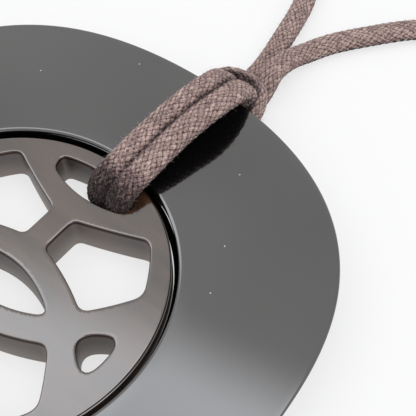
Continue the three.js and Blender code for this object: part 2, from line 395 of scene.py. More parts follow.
def ring_places(total, fine_length):
    """Where the rings stand: close over the fine length, if there is one, then evenly."""
    if not fine_length:
        return np.linspace(0, total, RINGS_MOST)
    fine = np.arange(0, fine_length, FINE_RING_STEP)
    return np.concatenate([fine, np.linspace(fine[-1] + FINE_RING_STEP, total, RINGS_MOST - len(fine))])


def cord_rings(line, places, width_axis, widths, thicknesses, rise):
    """Ring after ring of the section's outline, on the width axis and the thickness axis, pushed
    outwards by the braid's rise. The two ends are drawn in, and the cord lies flat on the floor."""
    centre = spaced(line, places)
    ahead = unit(np.gradient(centre, places, axis=0))
    wide = width_axis(places, ahead)
    wide = unit(wide - ahead * np.sum(wide * ahead, -1, keepdims=True))
    thick = np.cross(wide, ahead)
    across, up, out_across, out_up = section
    from_end = np.clip(np.minimum(places, places[-1] - places) / END_ROUNDING, 0, 1)
    drawn = np.sqrt(np.clip(1 - (1 - from_end) ** 2, 0, 1))[:, None]
    half_width = (CORD_WIDTH / 2 - BRAID_MEAN) * profile(widths, places)[:, None]
    half_thick = (CORD_THICKNESS / 2 - BRAID_MEAN) * profile(thicknesses, places)[:, None]
    sideways = drawn * (across * half_width + out_across * rise)
    upward = drawn * (up * half_thick + out_up * rise)
    rings = centre[:, None] + wide[:, None] * sideways[..., None] + thick[:, None] * upward[..., None]
    rings[..., 2] = np.maximum(rings[..., 2], FLOOR_CONTACT)
    return rings


def braided_cord(name, line, width_axis, widths, thicknesses, shade, fine_length, phase):
    """A flat braid along a line: its rings as a tube, with its strand counts as a map and the
    painted shade that it lies in as an attribute, which darkens its colour."""
    places = ring_places(length_along(line)[-1], fine_length)
    around = np.arange(SECTION_POINTS + 1) / SECTION_POINTS
    first, second = strand_counts(around[None, :], places[:, None] + phase)
    rise = braid_height(first, second)[:, :-1]
    rings = cord_rings(line, places, width_axis, widths, thicknesses, rise)
    made = put_mesh(name, rings.reshape(-1, 3), grid_faces(len(places), SECTION_POINTS))
    faces = grid_faces(len(places), SECTION_POINTS + 1, wrap_columns=False)
    counts = np.stack([first.ravel()[faces], second.ravel()[faces]], -1)
    made.data.uv_layers.new(name="strands").data.foreach_set("uv", counts.astype(np.float32).ravel())
    # The painted shade is stored on the points, to darken the cotton's colour.
    point_attribute(made, "soiled", np.maximum(slot_shade(rings), shade(places)))
    join_close(made)
    tell(made)
    return made


hitch_cord = braided_cord("hitch_cord", hitch_line, belt_axis, HITCH_WIDTH, HITCH_THICKNESS,
                          hitch_shade, fine_length=0, phase=0.0)
left_cord = braided_cord("left_cord", left_line, lying_axis, LEG_WIDTH, LEG_THICKNESS,
                         leg_shade, fine_length=34, phase=0.3)
right_cord = braided_cord("right_cord", right_line, lying_axis, LEG_WIDTH, LEG_THICKNESS,
                          leg_shade, fine_length=46, phase=0.7)

# %% [markdown]
# ## The horn disc
# The openwork is sawn out of a slice of horn, and its edges are polished until they are softly
# rounded. A boolean of each opening would leave sharp edges. Here the flat faces come first, as a
# fine square grid whose points near an edge are moved onto it. From there rows of points turn
# over the edge and go down as a wall, so every rounding follows its opening evenly.
# %% Outlines of the openings
SIDE_SAMPLES = 26
CORNER_SAMPLES = 9
WINDOW = [(1.85, 6.6, 0.9, -0.4), (11.8, 2.82, 1.3, 0.2), (16.55, 9.2, 1.3, 0.3),
          (11.95, 15.7, 1.2, -0.15), (1.85, 11.85, 0.9, 0.02)]
SLOT = [(-6.2, 16.6, 0.8, 1.2), (6.2, 16.6, 0.8, 0.08), (6.7, 18.7, 0.8, 1.12), (-6.7, 18.7, 0.8, 0.08)]
DROP = [(13.5, 0, 2.7, 0.15), (18.2, -3.45, 2.8, 0.4), (18.2, 3.45, 2.8, 0.15)]
LENS = [(-9.0, 0, 1.5, 2.85), (9.0, 0, 1.5, 2.85)]


def crossed(first, second):
    """The cross product of flat vectors, twice the area of the triangle between them."""
    return first[:, 0] * second[:, 1] - first[:, 1] * second[:, 0]


def parabola(start, handle, finish, share):
    """The curve (1 - s) squared x start + 2 s (1 - s) x handle + s squared x finish."""
    return (1 - share) ** 2 * start + 2 * share * (1 - share) * handle + share**2 * finish


def opening_outline(rows):
    """The closed line of an opening. A side is a parabola from corner to corner, swollen by its
    bow, that stops short of each corner by the rounding; a second one turns the corner, with
    its handle where the two sides' directions meet."""
    table = np.array(rows, float)
    start, rounding, bow = table[:, :2], table[:, 2], table[:, 3]
    finish = np.roll(start, -1, 0)
    side = finish - start
    size = np.linalg.norm(side, axis=1)
    outward = np.stack([side[:, 1], -side[:, 0]], -1) / size[:, None]
    handle = (start + finish) / 2 + outward * 2 * bow[:, None]
    low = (rounding / size)[:, None]
    high = 1 - (np.roll(rounding, -1) / size)[:, None]

    def direction(share):
        return 2 * (1 - share) * (handle - start) + 2 * share * (finish - handle)

    share = (low + (high - low) * np.linspace(0, 1, SIDE_SAMPLES))[..., None]
    sides = parabola(start[:, None], handle[:, None], finish[:, None], share)
    leave, arrive = sides[:, -1], np.roll(sides[:, 0], -1, 0)
    leaving, arriving = direction(high), np.roll(direction(low), -1, 0)
    meeting = leave + leaving * (crossed(arrive - leave, arriving) / crossed(leaving, arriving))[:, None]
    share = np.linspace(0, 1, CORNER_SAMPLES)[1:-1, None]
    corners = parabola(leave[:, None], meeting[:, None], arrive[:, None], share)
    return np.concatenate([sides, corners], 1).reshape(-1, 2)


def mirrored(outline, flip_x, flip_y):
    """The outline on the other side of an axis, run round the same way as before."""
    turned = outline * (flip_x, flip_y)
    return turned if flip_x * flip_y > 0 else turned[::-1]


window, slot, drop, lens_opening = (opening_outline(rows) for rows in (WINDOW, SLOT, DROP, LENS))
openings = (
    [mirrored(window, x, y) for x in (1, -1) for y in (1, -1)]
    + [mirrored(slot, 1, y) for y in (1, -1)]
    + [mirrored(drop, x, 1) for x in (1, -1)]
    + [lens_opening]
)
print("openings", len(openings), "points in each", [len(line) for line in openings])

# %% Distance to an outline
DISTANCE_REACH = 2.2
FAR_OFF = 99.0


def distance_to(outline, points):
    """How far each point is from a closed outline, below 0 inside it, and the nearest point on
    it. A point is dropped onto every side; it is inside if a ray from it crosses an odd number."""
    low, high = outline.min(0) - DISTANCE_REACH, outline.max(0) + DISTANCE_REACH
    close = np.all((points > low) & (points < high), axis=1)
    distance, nearest = np.full(len(points), FAR_OFF), points.copy()
    here = points[close][:, None]
    start, finish = outline[None], np.roll(outline, -1, 0)[None]
    side = finish - start
    share = np.clip(np.sum((here - start) * side, -1) / np.sum(side * side, -1), 0, 1)
    foot = start + share[..., None] * side
    gaps = np.linalg.norm(here - foot, axis=-1)
    best = np.argmin(gaps, 1)
    row = np.arange(len(best))
    spans = (start[..., 1] > here[..., 1]) != (finish[..., 1] > here[..., 1])
    rise = np.where(side[..., 1] == 0, 1, side[..., 1])
    cross_x = start[..., 0] + (here[..., 1] - start[..., 1]) / rise * side[..., 0]
    inside = np.sum(spans & (here[..., 0] < cross_x), 1) % 2 == 1
    distance[close] = np.where(inside, -gaps[row, best], gaps[row, best])
    nearest[close] = foot[row, best]
    return distance, nearest


def distance_to_holes(points):
    """The least distance to any opening, and the nearest point on its edge."""
    distance, nearest = np.full(len(points), FAR_OFF), points.copy()
    for outline in openings:
        found, foot = distance_to(outline, points)
        closer = found < distance
        distance = np.where(closer, found, distance)
        nearest = np.where(closer[:, None], foot, nearest)
    return distance, nearest


middle_distance, _ = distance_to_holes(np.zeros((1, 2)))
print("the disc's middle lies inside the lens by", round(-float(middle_distance[0]), 2), "mm")

# %% Plan of the disc
DISC_RADIUS = 22.0
GRID_STEP = 0.235
SLIVER = 0.0006
HOLE_ROUND = (0.26, 0.22)
RIM_ROUND = (0.1, 0.12)
FLAT_RADIUS = DISC_RADIUS - RIM_ROUND[0]
RIM_SLACK = 0.05


def flat_from_holes(points):
    """Distance and nearest point as above, but to the line a rounding's reach outside each
    opening, where its rounded edge begins."""
    distance, foot = distance_to_holes(points)
    away = (points - foot) / np.where(distance == 0, 1, distance)[:, None]
    return distance - HOLE_ROUND[0], foot + away * HOLE_ROUND[0]


def split_squares(squares, outside):
    """Two triangles from each square, cut so that an outside corner belongs to only one."""
    a, b, c, d = squares.T
    cut_ac = (outside[b] | outside[d])[:, None]
    first = np.where(cut_ac, np.stack([a, b, c], -1), np.stack([a, b, d], -1))
    second = np.where(cut_ac, np.stack([a, c, d], -1), np.stack([b, c, d], -1))
    return np.vstack([first, second])


def in_the_horn(points, triangles, on_edge):
    """Drops triangles that bridge an opening, with all corners on an edge and their middle off
    the face, and those with no area to speak of."""
    all_edge = on_edge[triangles].all(1)
    middles = points[triangles[all_edge]].mean(1)
    keep = np.ones(len(triangles), bool)
    keep[all_edge] = (flat_from_holes(middles)[0] > 0) & (np.linalg.norm(middles, axis=1) < FLAT_RADIUS)
    triangles = triangles[keep]
    corner, beside, across = (points[triangles[:, i]] for i in range(3))
    return triangles[crossed(beside - corner, across - corner) > SLIVER]


def disc_plan():
    """The flat faces' plan. Grid points nearer than half a step to an edge are moved onto it, so
    no side of a square crosses an edge, and a square that an edge cuts is split there."""
    side = np.arange(-DISC_RADIUS - GRID_STEP, DISC_RADIUS + 1.5 * GRID_STEP, GRID_STEP)
    points = np.stack(np.meshgrid(side, side, indexing="ij"), -1).reshape(-1, 2)
    to_hole, hole_foot = flat_from_holes(points)
    radius = np.linalg.norm(points, axis=1)
    to_rim = FLAT_RADIUS - radius
    rim_foot = points * (FLAT_RADIUS / np.maximum(radius, 1e-6))[:, None]
    distance = np.minimum(to_hole, to_rim)
    foot = np.where((to_hole < to_rim)[:, None], hole_foot, rim_foot)
    on_edge = np.abs(distance) < GRID_STEP / 2
    points = np.where(on_edge[:, None], foot, points)
    outside = (distance < 0) & ~on_edge
    triangles = split_squares(grid_faces(len(side), len(side), wrap_columns=False), outside)
    triangles = triangles[~outside[triangles].any(1)]
    triangles = in_the_horn(points, triangles, on_edge)
    used, renumbered = np.unique(triangles, return_inverse=True)
    return points[used], renumbered.reshape(-1, 3)


plan_points, plan_triangles = disc_plan()
print("plan points", len(plan_points), "triangles", len(plan_triangles))

# %% Walls of the disc
# A row is how far out it stands, its share of the way from back to top, its own lift, and how
# much painted shade darkens it.
DISC_TOP = 5.5
CHANNEL = (-2.4, 7.6, 17.5, 3.3)
CHANNEL_SOFTNESS = 0.35
HOLE_WALL = [(0.26, 1, -0.34, 1), (0.26, 1, -0.48, 0.8), (0.26, 1, -0.66, 0), (0.26, 0.8, 0, 0),
             (0.26, 0.65, 0, 0), (0.26, 0.5, 0, 0)]
RIM_WALL = [(0.1, 1, -0.18, 1), (0.11, 1, -0.23, 1), (0.24, 1, -0.25, 0), (0.28, 1, -0.28, 0),
            (0.3, 1, -0.36, 0), (0.3, 0.5, 0, 0)]
# How much painted shade, a dark metallic brown, each step of the rounding takes.
EDGE_SHADE = np.array([0, 0.3, 1, 1, 1, 1])
ROUND_STEPS = len(EDGE_SHADE)


def wall_rows(reach, drop, middle):
    """A wall from the top face to the back: rows of a quarter ellipse that turns down from the
    face, the middle rows, and the same edge below."""
    turn = np.linspace(0, math.pi / 2, ROUND_STEPS + 1)[1:]
    top = np.column_stack([reach * np.sin(turn), np.ones(ROUND_STEPS), -drop * (1 - np.cos(turn)), EDGE_SHADE])
    return np.vstack([top, np.array(middle, float), top[::-1] * (1, 0, -1, 0)])


def channel_rise(plan):
    """How far the back stands in: nothing, but for the channel behind the slot for the cord."""
    left, right, inner, ceiling = CHANNEL
    x, y = plan.T
    return (soft_step(x - left, CHANNEL_SOFTNESS) * soft_step(right - x, CHANNEL_SOFTNESS)
            * soft_step(y - inner, CHANNEL_SOFTNESS)) * ceiling


def edge_walls(edge, back):
    """Every wall's rows of points, pushed out from the plan's edge points, and how much painted shade each
    takes.
    """
    at_rim = np.linalg.norm(edge, axis=1) > FLAT_RADIUS - RIM_SLACK
    to_opening = unit(distance_to_holes(edge)[1] - edge + 1e-9)
    outward = np.where(at_rim[:, None], unit(edge), to_opening)
    rim_rows, hole_rows = wall_rows(*RIM_ROUND, RIM_WALL), wall_rows(*HOLE_ROUND, HOLE_WALL)
    wall = np.where(at_rim[None, :, None], rim_rows[:, None], hole_rows[:, None])
    flat = edge[None] + outward[None] * wall[..., :1]
    height = back + (DISC_TOP - back) * wall[..., 1] + wall[..., 2]
    return np.concatenate([flat, height[..., None]], -1), wall[..., 3]


print("rows in a wall", len(wall_rows(*HOLE_ROUND, HOLE_WALL)))

# %% The disc itself
def open_sides(triangles, count):
    """The sides that belong to one triangle only, which are the plan's edges."""
    sides = np.vstack([triangles[:, [0, 1]], triangles[:, [1, 2]], triangles[:, [2, 0]]])
    key = np.sort(sides, 1) @ np.array([count, 1])
    _, first, repeats = np.unique(key, return_index=True, return_counts=True)
    return sides[first[repeats == 1]]


def horn_disc():
    """One closed shell: the plan as the top, turned over as the back, and walls between."""
    count = len(plan_points)
    back = channel_rise(plan_points)
    border = open_sides(plan_triangles, count)
    edge = np.unique(border)
    number = np.full(count, -1)
    number[edge] = np.arange(len(edge))
    walls, wall_edge_shade = edge_walls(plan_points[edge], back[edge])
    points = np.vstack([np.column_stack([plan_points, np.full(count, DISC_TOP)]),
                        walls.reshape(-1, 3), np.column_stack([plan_points, back])])
    back_start = count + wall_edge_shade.size
    levels = [count + level * len(edge) + number[border] for level in range(len(walls))]
    levels = [border, *levels, back_start + border]
    quads = np.vstack([np.column_stack([low, high[:, ::-1]]) for high, low in zip(levels, levels[1:])])
    triangles = np.vstack([plan_triangles, quads[:, [0, 1, 2]], quads[:, [0, 2, 3]],
                           back_start + plan_triangles[:, ::-1]])
    return points, triangles, np.concatenate([np.zeros(count), wall_edge_shade.ravel(), np.zeros(count)])


disc_points, disc_triangles, disc_edge_shade = horn_disc()
disc = put_mesh("horn_openwork_disc", disc_points, disc_triangles)
# The painted edge shade is stored on the points, for the horn's colour.
point_attribute(disc, "burnt", disc_edge_shade)
join_close(disc)
tell(disc)

# %% [markdown]
# ## The lacquered plate
# The plate is a thin, soft-cornered square with a round opening. Its top is flat and its back
# slopes up to a thin rim, so that it seems to float. It could be turned on a lathe but for its
# outline, so profiles stand round the centre, each stretched from the opening to the outline.
# %% Plate
OPENING_RADIUS = 23.0
OUTLINE_MEAN, OUTLINE_STRETCH, OUTLINE_SQUARE, OUTLINE_ROUND = 42.1, 0.55, 1.63, 0.15
PLATE_ANGLES = 1080
PLATE_PROFILE = np.array([
    (0, 0.32, 3.1), (0, 0.27, 3.13), (0, 0.25, 3.3), (0, 0.25, 4.3), (0, 0.22, 4.9), (0, 0.1, 5.3),
    (0, 0.02, 5.5), (0, 0, 5.62), (0, 0.03, 5.76), (0, 0.1, 5.88), (0, 0.2, 5.955), (0, 0.33, 5.99),
    (0, 0.5, 6), (0.1, 0.45, 6), (0.3, 0.2, 6), (0.5, 0, 6), (0.7, 0, 6), (0.85, 0, 6), (0.95, -0.1, 6),
    (1, -0.45, 6), (1, -0.3, 5.992), (1, -0.17, 5.965), (1, -0.07, 5.9), (1, -0.015, 5.8), (1, 0, 5.68),
    (1, -0.02, 5.57), (1, -0.09, 5.49), (1, -0.25, 5.43), (1, -1, 5.16), (1, -2.5, 4.5), (1, -4.5, 3.6),
    (1, -5.6, 3.18), (1, -6.4, 3.1), (0.35, 0, 3.1), (0.1, 0.2, 3.1),
])


def plate_outline(angle):
    """The outline's radius at an angle from +Y: a mean, a little longer one way, squared off."""
    return (OUTLINE_MEAN + OUTLINE_STRETCH * np.cos(2 * angle) - OUTLINE_SQUARE * np.cos(4 * angle)
            + OUTLINE_ROUND * np.cos(6 * angle))


def angles_round(count):
    """Even angles all the way round, as a column."""
    return np.arange(count)[:, None] / count * FULL_TURN


def carried_round(angle, radius, height):
    """A closed ring: a profile's radii and heights at every angle from +Y, and its faces."""
    radius, height, angle = np.broadcast_arrays(radius, height, angle)
    points = np.stack([radius * np.sin(angle), radius * np.cos(angle), height], -1)
    return points.reshape(-1, 3), grid_faces(*radius.shape, wrap_rows=True)


def lacquered_plate():
    """Radius = (1 - w) x opening + w x outline + a small offset, for each profile point's own w,
    offset and height, at every angle."""
    angle = angles_round(PLATE_ANGLES)
    share, offset, height = PLATE_PROFILE.T
    return carried_round(angle, (1 - share) * OPENING_RADIUS + share * plate_outline(angle) + offset, height)


plate = put_mesh("black_lacquer_plate", *lacquered_plate())
tell(plate)

# %% [markdown]
# ## The seat
# The disc doesn't touch the plate: a matt black band, low in the gap between them, holds it. Its
# black, which gives nothing back, also stands for the deep shade of that gap, as painted shade. It
# is one small square-shouldered profile carried round.
# %% Seat band
SEAT_ANGLES = 360
SEAT_PROFILE = np.array([(22.4, 3.2), (23.12, 3.2), (23.17, 3.25), (23.17, 3.85), (23.12, 3.9),
                         (22.75, 3.82), (22.4, 3.9), (22.35, 3.85), (22.35, 3.25)])
seat = put_mesh("seat_band", *carried_round(-angles_round(SEAT_ANGLES), *SEAT_PROFILE.T))
tell(seat)

# %% [markdown]
# ## Loose fibres
# Worn cotton grows a down of loose fibres, which softens its outline. Hair curves would need
# thousands of splines; here every fibre is a tiny bent spindle of twelve triangles, all in one
# mesh, and stands on a point of the cord's own surface, drawn by a seeded choice.
# %% Cotton down
FIBRE_SEED = 7
FIBRE_COUNTS = {"hitch_cord": 4200, "left_cord": 1000, "right_cord": 1200}
FIBRE_RADIUS, TIP_SHARE = 0.011, 0.7
RING_SHARES = (0, 0.33, 0.7, 1)
FIBRE_LENGTH, LENGTH_POWER = (0.2, 0.85), 1.4
FIBRE_BEND = 0.8
OUTWARD_SHARE, LEAN_SHARE = 0.8, 0.85
ROOT_DEPTH = 0.03
LEAST_FACING, LEAST_HEIGHT, LEAST_Y = -0.35, 1.2, 16


def spindles(base, way, bend, length):
    """Fibres as spindles: a foot, two rings of three, and a tip, on a parabola that leaves
    along its way and is drawn aside by its bend."""
    share = np.array(RING_SHARES)[None, :, None]
    line = base[:, None] + length[:, None, None] * (share * way[:, None] + share**2 * bend[:, None])
    side = unit(np.cross(way, bend))[:, None]
    other = unit(np.cross(side[:, 0], way))[:, None]
    turn = (np.arange(3) / 3 * FULL_TURN)[:, None]
    ring = FIBRE_RADIUS * (np.cos(turn) * side + np.sin(turn) * other)
    points = [line[:, :1], line[:, 1:2] + ring, line[:, 2:3] + TIP_SHARE * ring, line[:, 3:]]
    first, after = np.arange(3), (np.arange(3) + 1) % 3
    foot = np.stack([1 + first, 1 + after, np.zeros(3, int)], -1)
    low = np.stack([4 + after, 1 + after, 1 + first], -1)
    high = np.stack([4 + first, 4 + after, 1 + first], -1)
    tip = np.stack([np.full(3, 7), 4 + after, 4 + first], -1)
    faces = np.vstack([foot, low, high, tip]) + 8 * np.arange(len(base))[:, None, None]
    return np.concatenate(points, 1).reshape(-1, 3), faces.reshape(-1, 3)


def fibre_roots(piece, chance):
    """Points drawn by chance from the upper side of a cord near the hitch, and their normals."""
    count = len(piece.data.vertices)
    spots, outward = np.empty(3 * count), np.empty(3 * count)
    piece.data.vertices.foreach_get("co", spots)
    piece.data.vertex_normals.foreach_get("vector", outward)
    spots, outward = spots.reshape(-1, 3) / MM, outward.reshape(-1, 3)
    fair = (outward[:, 2] > LEAST_FACING) & (spots[:, 2] > LEAST_HEIGHT) & (spots[:, 1] > LEAST_Y)
    chosen = chance.choice(np.flatnonzero(fair), FIBRE_COUNTS[piece.name])
    return spots[chosen], outward[chosen]


def cotton_down():
    """Fibres on each cord's roots: outwards with a random lean, then bent over."""
    chance = np.random.default_rng(FIBRE_SEED)
    roots = [fibre_roots(piece, chance) for piece in (hitch_cord, left_cord, right_cord)]
    base, outward = (np.vstack(part) for part in zip(*roots))
    lean = unit(chance.normal(size=base.shape))
    way = unit(outward * OUTWARD_SHARE + lean * LEAN_SHARE)
    bend = unit(chance.normal(size=base.shape)) * FIBRE_BEND
    length = chance.uniform(*FIBRE_LENGTH, len(base)) ** LENGTH_POWER
    return spindles(base - ROOT_DEPTH * outward, way, bend, length)


down = put_mesh("cotton_down", *cotton_down())
tell(down)

# %% [markdown]
# ## The barrel clasp
# The two ends of the cord are glued into a small turned barrel, which lies behind the neck when
# worn. Its surface is a profile carried round an axis: a cup at each end for the cord, rolled
# lips, and a fine grooved band to grip.
# %% Clasp
CLASP_PLACE = (1.0, -70.5, 2.35)
CLASP_ANGLES = 96
CLASP_HALF = np.array([
    (5.0, 0.0), (5.0, 1.0), (5.02, 1.78), (5.3, 1.84), (6.3, 1.86), (6.42, 1.95), (6.45, 2.08),
    (6.38, 2.2), (6.2, 2.27), (5.95, 2.28), (5.75, 2.22), (5.66, 2.12), (5.6, 2.06), (5.2, 2.05),
    (4.4, 2.08), (3.4, 2.16), (3.1, 2.2), (3.0, 2.26), (2.85, 2.28), (2.7, 2.26), (2.6, 2.16),
])
GROOVES, ROWS_EACH = 9, 8
GROOVE_REACH, GROOVE_DEPTH = 2.5, 0.07
BAND_RADIUS = 2.2


def barrel():
    """Rings round X at the profile's places and radii, mirrored for the far half, with a cosine's
    ripples in the middle band."""
    band = np.linspace(GROOVE_REACH, -GROOVE_REACH, GROOVES * ROWS_EACH + 1)
    ripple = BAND_RADIUS - GROOVE_DEPTH * (0.5 - 0.5 * np.cos(band / GROOVE_REACH * math.pi * GROOVES))
    near, far = CLASP_HALF, CLASP_HALF[::-1] * (-1, 1)
    rows = np.vstack([near, np.column_stack([band, ripple]), far])
    angle = angles_round(CLASP_ANGLES)[:, 0]
    along = np.broadcast_to(rows[:, :1], (len(rows), CLASP_ANGLES))
    points = np.stack([along, rows[:, 1:] * np.cos(angle), rows[:, 1:] * np.sin(angle)], -1)
    return points.reshape(-1, 3) + CLASP_PLACE, grid_faces(len(rows), CLASP_ANGLES)


clasp = put_mesh("barrel_clasp", *barrel())
join_close(clasp)
tell(clasp)

# %% [markdown]
# ## The floor
# A pale matt sheet, too large for its end to be seen. A plane operator would do, but four points
# through the same helper keep it like the rest. It is a stage, not a piece.
# %% Floor
FLOOR_REACH = 3000.0
floor_corners = np.array([(-1, -1, 0), (1, -1, 0), (1, 1, 0), (-1, 1, 0)]) * FLOOR_REACH
floor = put_mesh("pale_floor", floor_corners, np.array([[0, 1, 2, 3]]), smooth=False)
print("the floor reaches", FLOOR_REACH * MM, "m each way")

# %% [markdown]
# ## Writing a material as a sum
# A material is a graph of nodes, hard to read as a list of links. Here a wire from a node is a
# Python value: adding two wires adds the Math node that does it, and any other node comes from
# one call with its settings and inputs.
# %% Wires
def plug(socket, value):
    """Gives a socket its value, or a wire to read it from."""
    if isinstance(value, Wire):
        value.tree.links.new(value.socket, socket)
    else:
        socket.default_value = value


class Wire:
    """The output of a node in a material. Arithmetic on it adds Math nodes."""

    def __init__(self, tree, socket=None):
        self.tree, self.socket = tree, socket

    def node(self, kind, settings=None, inputs=None, output=0):
        """Adds a node, sets it, gives its inputs values or wires, and returns the wire of one
        output. A ramp's stops are places with their colours."""
        made = self.tree.nodes.new(kind)
        for name, value in (settings or {}).items():
            if name == "stops":
                elements = made.color_ramp.elements
                while len(elements) < len(value):
                    elements.new(0.5)
                for element, (place, colour) in zip(elements, value):
                    element.position, element.color = place, colour
            else:
                setattr(made, name, value)
        for name, value in (inputs or {}).items():
            plug(made.inputs[name], value)
        return Wire(self.tree, made.outputs[output])

    def apply(self, operation, *others):
        """A Math node's operation on this wire and the others that it takes."""
        return self.node("ShaderNodeMath", {"operation": operation}, dict(enumerate((self, *others))))

    def __add__(self, other):
        return self.apply("ADD", other)

    def __mul__(self, other):
        return self.apply("MULTIPLY", other)

    def __sub__(self, other):
        return self.apply("SUBTRACT", other)

    def __rsub__(self, other):
        return self.node("ShaderNodeMath", {"operation": "SUBTRACT"}, {0: other, 1: self})

    __radd__, __rmul__ = __add__, __mul__

    def step(self, low, high):
        """0 up to the low value, 1 from the high one, and smooth between."""
        return self.node("ShaderNodeMapRange", {"interpolation_type": "SMOOTHSTEP"},
                         {"Value": self, "From Min": low, "From Max": high})

    def colour(self, dark, light):
        """A colour between two, by this wire."""
        return self.node("ShaderNodeMix", {"data_type": "RGBA"}, {0: self, 6: dark, 7: light}, output=2)

    def noise(self, scale, detail, **more):
        """Cloudy noise over the places that this wire gives."""
        return self.node("ShaderNodeTexNoise", {}, {"Vector": self, "Scale": scale, "Detail": detail, **more})

    def bumps(self, strength, distance):
        """A normal tilted by this wire as a height."""
        return self.node("ShaderNodeBump", {}, {"Height": self, "Strength": strength, "Distance": distance})

    def part(self, axis):
        """One number of a vector."""
        return self.node("ShaderNodeSeparateXYZ", {}, {"Vector": self}, output=axis)

    def facing_up(self, low, high):
        """How far the surface faces up, by the height of its normal."""
        return self.node("ShaderNodeNewGeometry", output="Normal").part("Z").step(low, high)

    def attribute(self, name):
        """The number that the mesh stores at each point under a name."""
        return self.node("ShaderNodeAttribute", {"attribute_name": name}, output="Fac")


def feed(shader, **values):
    """Gives a shader's sockets their constants and wires."""
    for name, value in values.items():
        plug(shader.inputs[name.replace("_", " ")], value)


def finish_of(name, **constants):
    """A new material, the wire of its places, and its shader with the constants on its sockets."""
    made = bpy.data.materials.new(name)
    made.use_nodes = True
    shader = made.node_tree.nodes["Principled BSDF"]
    feed(shader, **constants)
    print("finish", name)
    return made, Wire(made.node_tree).node("ShaderNodeTexCoord", output="Object"), shader


def grey(level):
    """A neutral colour."""
    return (level, level, level, 1)


print("arithmetic on wires is ready")

# %% [markdown]
# ## Horn
# Horn is a dense, warm grey-brown with faint streaks under a polish. An image could be wrapped
# on it, but noise stretched one way gives streaks of any fineness. The walls, which a polishing
# wheel can't reach, stay rougher. Low down their colour is painted lighter, as painted light
# bounced up from the floor, and their rounded edges and upper walls are painted a dark metallic
# brown, as painted shade.
# %% Horn
HORN_DARK, HORN_LIGHT = (0.009, 0.0036, 0.0014, 1), (0.044, 0.021, 0.011, 1)
HORN_PAINTED_BOUNCE, HORN_EDGE_SHADE = (0.150, 0.115, 0.096, 1), (0.045, 0.026, 0.020, 1)
STREAK_TURN, STREAK_SCALE = (0, 0, 0.6), (60, 420, 200)
PAINTED_BOUNCE_HEIGHT = 0.0042
horn, place, shader = finish_of("polished_horn", IOR=1.92, Coat_Roughness=0.04)
streaked = place.node("ShaderNodeMapping", {},
                      {"Vector": place, "Rotation": STREAK_TURN, "Scale": STREAK_SCALE})
streaks = streaked.noise(scale=1.0, detail=6.0, Roughness=0.62)
tone = streaks * 0.65 + place.noise(scale=90.0, detail=3.0) * 0.35
# Painted shade: the rounded edges and the tops of the walls turn a dark metallic brown.
burnt = place.attribute("burnt")
polish = place.facing_up(0.15, 0.6)
# Painted light: the walls are made lighter low down, as if lit by light bounced up from the floor.
painted_bounce = (1 - place.part("Z").step(0.0, PAINTED_BOUNCE_HEIGHT)) * (1 - polish)
body = painted_bounce.colour(tone.step(0.34, 0.66).colour(HORN_DARK, HORN_LIGHT), HORN_PAINTED_BOUNCE)
feed(
    shader,
    Base_Color=burnt.colour(body, HORN_EDGE_SHADE),
    Metallic=burnt,
    Roughness=0.07 + 0.1 * streaks + 0.4 * (1 - polish),
    Coat_Weight=polish,
    Normal=(place.noise(scale=5200.0, detail=2.0) * 0.4 + streaks * 0.6).bumps(0.06, 0.00008),
)

# %% [markdown]
# ## Lacquer
# Black lacquer is a mirror over a black ground. What makes it real is what spoils the mirror: a
# slow wave, a haze of handling, and a few specks of dust. The specks are the cores of Voronoi
# cells, and noise picks out the few that are kept.
# %% Lacquer
LACQUER_BLACK, DUST_PALE = (0.0022, 0.0024, 0.0028, 1), (0.4, 0.39, 0.37, 1)
lacquer, place, shader = finish_of("black_lacquer", IOR=1.9, Coat_Weight=1.0, Coat_Roughness=0.02,
                                   Coat_IOR=1.5)
cores = place.node("ShaderNodeTexVoronoi", {"voronoi_dimensions": "2D"},
                   {"Vector": place, "Scale": 170.0, "Randomness": 1.0})
speck = (1 - cores.step(0.012, 0.02)) * place.noise(scale=160.0, detail=1.0).step(0.6, 0.64)
haze = place.noise(scale=35.0, detail=4.0)
feed(
    shader,
    Base_Color=speck.colour(LACQUER_BLACK, DUST_PALE),
    Roughness=0.05 + 0.05 * haze + 0.5 * speck,
    Normal=place.noise(scale=55.0, detail=1.0).bumps(0.02, 0.0002),
)

# %% [markdown]
# ## Cotton
# A braid is matt. Its crests are paler, partly for wear and partly as a painted highlight, and
# its crevices darker, as painted shade. The mesh is too coarse for every strand's edge, so its
# height is worked out again at each point, from the counts in the map. It also tells which strand
# is on top, for its yarns and its own tone. Its colour is darkened too by the painted shade stored
# on the mesh, and by painted shade on the side that faces down.
# %% The braid again, as a material
cotton, place, shader = finish_of("cotton_braid", Sheen_Weight=0.06, Sheen_Roughness=0.5,
                                  Specular_IOR_Level=0.15)
counts = place.node("ShaderNodeUVMap", {"uv_map": "strands"})
first, second = counts.part("X"), counts.part("Y")


def strand_back(count):
    """The ellipse over a strand's width, as the surface has it."""
    offset = 2 * count.apply("FRACT") - 1
    return STRAND_ROUNDNESS * (1 - offset * offset).apply("MAXIMUM", 0).apply("SQRT")


def strand_wave(along, crossing):
    """The sine wave of a strand over and under the ones that it crosses."""
    return STRAND_RISE * (math.pi * (along + crossing.apply("FLOOR"))).apply("SINE")


over = strand_wave(second, first) + strand_back(first)
under = strand_back(second) - strand_wave(first, second)
rise = over.apply("MAXIMUM", under)
on_first = over.apply("GREATER_THAN", under)
offset = second.apply("FRACT")
offset = offset + (first.apply("FRACT") - offset) * on_first
yarns = (math.pi * YARNS_EACH * offset).apply("SINE").apply("ABSOLUTE")
leaf_place = place.node("ShaderNodeCombineXYZ", {}, {
    "X": first.apply("FLOOR"), "Y": second.apply("FLOOR"), "Z": on_first})
leaf = leaf_place.node("ShaderNodeTexWhiteNoise", {"noise_dimensions": "3D"}, {"Vector": leaf_place})
print("yarns in a strand", YARNS_EACH)
